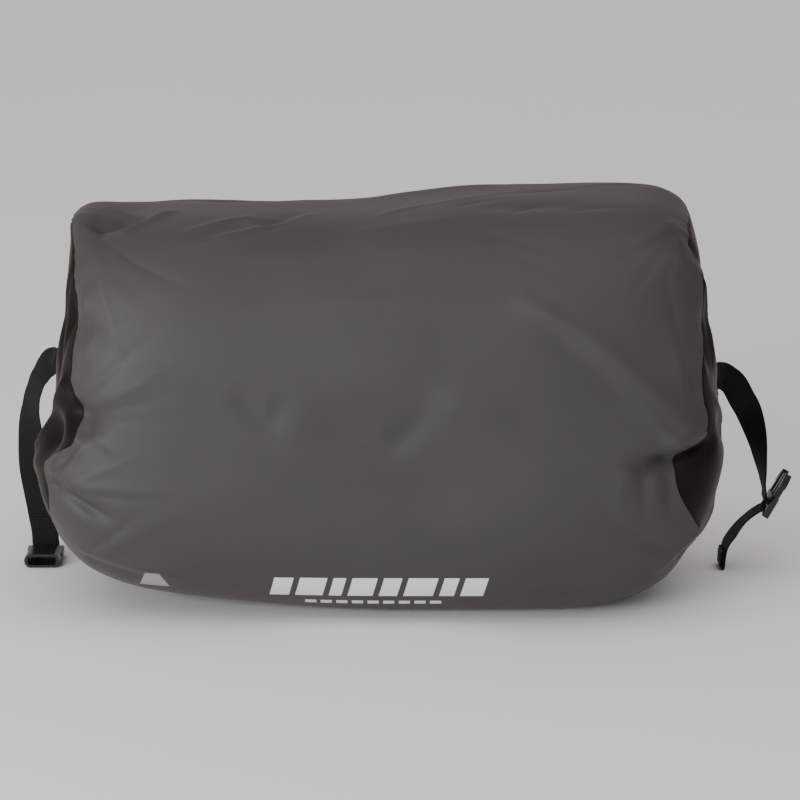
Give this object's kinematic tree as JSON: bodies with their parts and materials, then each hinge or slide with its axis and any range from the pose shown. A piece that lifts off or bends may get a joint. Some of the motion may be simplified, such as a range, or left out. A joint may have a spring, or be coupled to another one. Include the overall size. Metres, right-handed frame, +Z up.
{
  "type": "dry bag",
  "caption": "Grey duffel-shaped roll-top dry bag, stuffed and lying on its side, with black webbing straps and side-release buckles at its ends.",
  "frame": {"origin": "on the flat patch of the main panel that the bag rests on, under the middle of the bag", "axes": "+X along the bag, +Y towards the roll closure, +Z up from the floor"},
  "size_m": [0.7202, 0.3793, 0.367],
  "materials": {
    "tarpaulin": "satin PVC-coated weave, dark grey",
    "seam_tape": "satin, dark grey",
    "webbing": "matt ribbed weave, black",
    "thread": "matt twisted thread, black",
    "pale_print": "satin, light grey",
    "stiffener": "smooth strip, black",
    "buckle": "fine moulded texture, black"
  },
  "bodies": {
    "bag": {"main_panel": "tarpaulin", "left_end_panel": "tarpaulin", "right_end_panel": "tarpaulin", "left_seam_tape": "seam_tape", "right_seam_tape": "seam_tape", "left_anchor_patch": "tarpaulin", "right_anchor_patch": "tarpaulin", "left_anchor_webbing": "webbing", "right_anchor_webbing": "webbing", "left_anchor_stitching": "thread", "right_anchor_stitching": "thread", "face_patch": "pale_print"},
    "neck": {"neck_band": "tarpaulin"},
    "roll": {"rolled_neck": "tarpaulin", "lip_stiffener_upper": "stiffener", "lip_stiffener_lower": "stiffener"},
    "roll_left_end": {"roll_left_tab": "webbing", "roll_plug_frame": "buckle"},
    "roll_plug_front": {"roll_plug_prong_front": "buckle"},
    "roll_plug_rear": {"roll_plug_prong_rear": "buckle"},
    "roll_right_end": {"roll_right_tab": "webbing", "roll_socket_buckle": "buckle"},
    "left_strap": {"left_strap_webbing": "webbing", "left_strap_stitching": "thread"},
    "left_socket": {"left_socket_buckle": "buckle"},
    "right_strap": {"right_strap_webbing": "webbing"},
    "right_plug": {"right_plug_frame": "buckle"},
    "right_plug_front": {"right_plug_prong_front": "buckle"},
    "right_plug_rear": {"right_plug_prong_rear": "buckle"},
    "right_tail": {"right_strap_tail": "webbing", "right_tail_stitching": "thread"}
  },
  "joints": [
    {"name": "neck_unroll", "type": "slide", "parent": "bag", "child": "neck", "axis": [0, 1, 0], "range_m": [0, 0.125], "deforming": ["neck_band"]},
    {"name": "roll_turn", "type": "hinge", "parent": "neck", "child": "roll", "pos_m": [0, 0.193, 0.151], "axis": [1, 0, 0], "range_deg": [0, 360]},
    {"name": "roll_left_end_bend", "type": "hinge", "parent": "roll", "child": "roll_left_end", "pos_m": [-0.2535, 0.193, 0.151], "axis": [0, 1, 0], "range_deg": [0, 110]},
    {"name": "roll_right_end_bend", "type": "hinge", "parent": "roll", "child": "roll_right_end", "pos_m": [0.2535, 0.193, 0.151], "axis": [0, -1, 0], "range_deg": [0, 110]},
    {"name": "roll_plug_rear_flex", "type": "hinge", "parent": "roll_left_end", "child": "roll_plug_rear", "pos_m": [-0.258, 0.1815, 0.1134], "axis": [1, 0, 0], "range_deg": [0, 8], "stiffness_Nm_per_rad": 0.15},
    {"name": "roll_plug_front_flex", "type": "hinge", "parent": "roll_left_end", "child": "roll_plug_front", "pos_m": [-0.258, 0.2045, 0.1134], "axis": [-1, 0, 0], "range_deg": [0, 8], "stiffness_Nm_per_rad": 0.15},
    {"name": "left_strap_swing", "type": "hinge", "parent": "bag", "child": "left_strap", "pos_m": [-0.30692, 0.0592, 0.196], "axis": [0.1962, 0, 0.9806], "range_deg": [0, 45]},
    {"name": "left_socket_tilt", "type": "hinge", "parent": "left_strap", "child": "left_socket", "pos_m": [-0.321, 0.088, 0.0066], "axis": [1, 0, 0], "range_deg": [0, 170]},
    {"name": "right_strap_swing", "type": "hinge", "parent": "bag", "child": "right_strap", "pos_m": [0.30822, 0.0492, 0.184], "axis": [0.1239, 0, -0.9923], "range_deg": [0, 60]},
    {"name": "right_plug_tilt", "type": "hinge", "parent": "right_strap", "child": "right_plug", "pos_m": [0.3565, 0.05, 0.06], "axis": [0, 1, 0], "range_deg": [0, 30]},
    {"name": "right_plug_front_flex", "type": "hinge", "parent": "right_plug", "child": "right_plug_front", "pos_m": [0.36316, 0.0385, 0.07186], "axis": [-0.8718, 0, 0.4899], "range_deg": [0, 8], "stiffness_Nm_per_rad": 0.15},
    {"name": "right_plug_rear_flex", "type": "hinge", "parent": "right_plug", "child": "right_plug_rear", "pos_m": [0.36316, 0.0615, 0.07186], "axis": [0.8718, 0, -0.4899], "range_deg": [0, 8], "stiffness_Nm_per_rad": 0.15},
    {"name": "right_tail_swing", "type": "hinge", "parent": "right_plug", "child": "right_tail", "pos_m": [0.3469, 0.05, 0.05599], "axis": [0, 1, 0], "range_deg": [-60, 10]}
  ],
  "couplings": [
    {"joint": "roll_turn", "follows": "neck_unroll", "rad_per_m": 48.781},
    {"joint": "roll_plug_rear_flex", "follows": "roll_plug_front_flex", "ratio": 1},
    {"joint": "right_plug_rear_flex", "follows": "right_plug_front_flex", "ratio": 1}
  ]
}
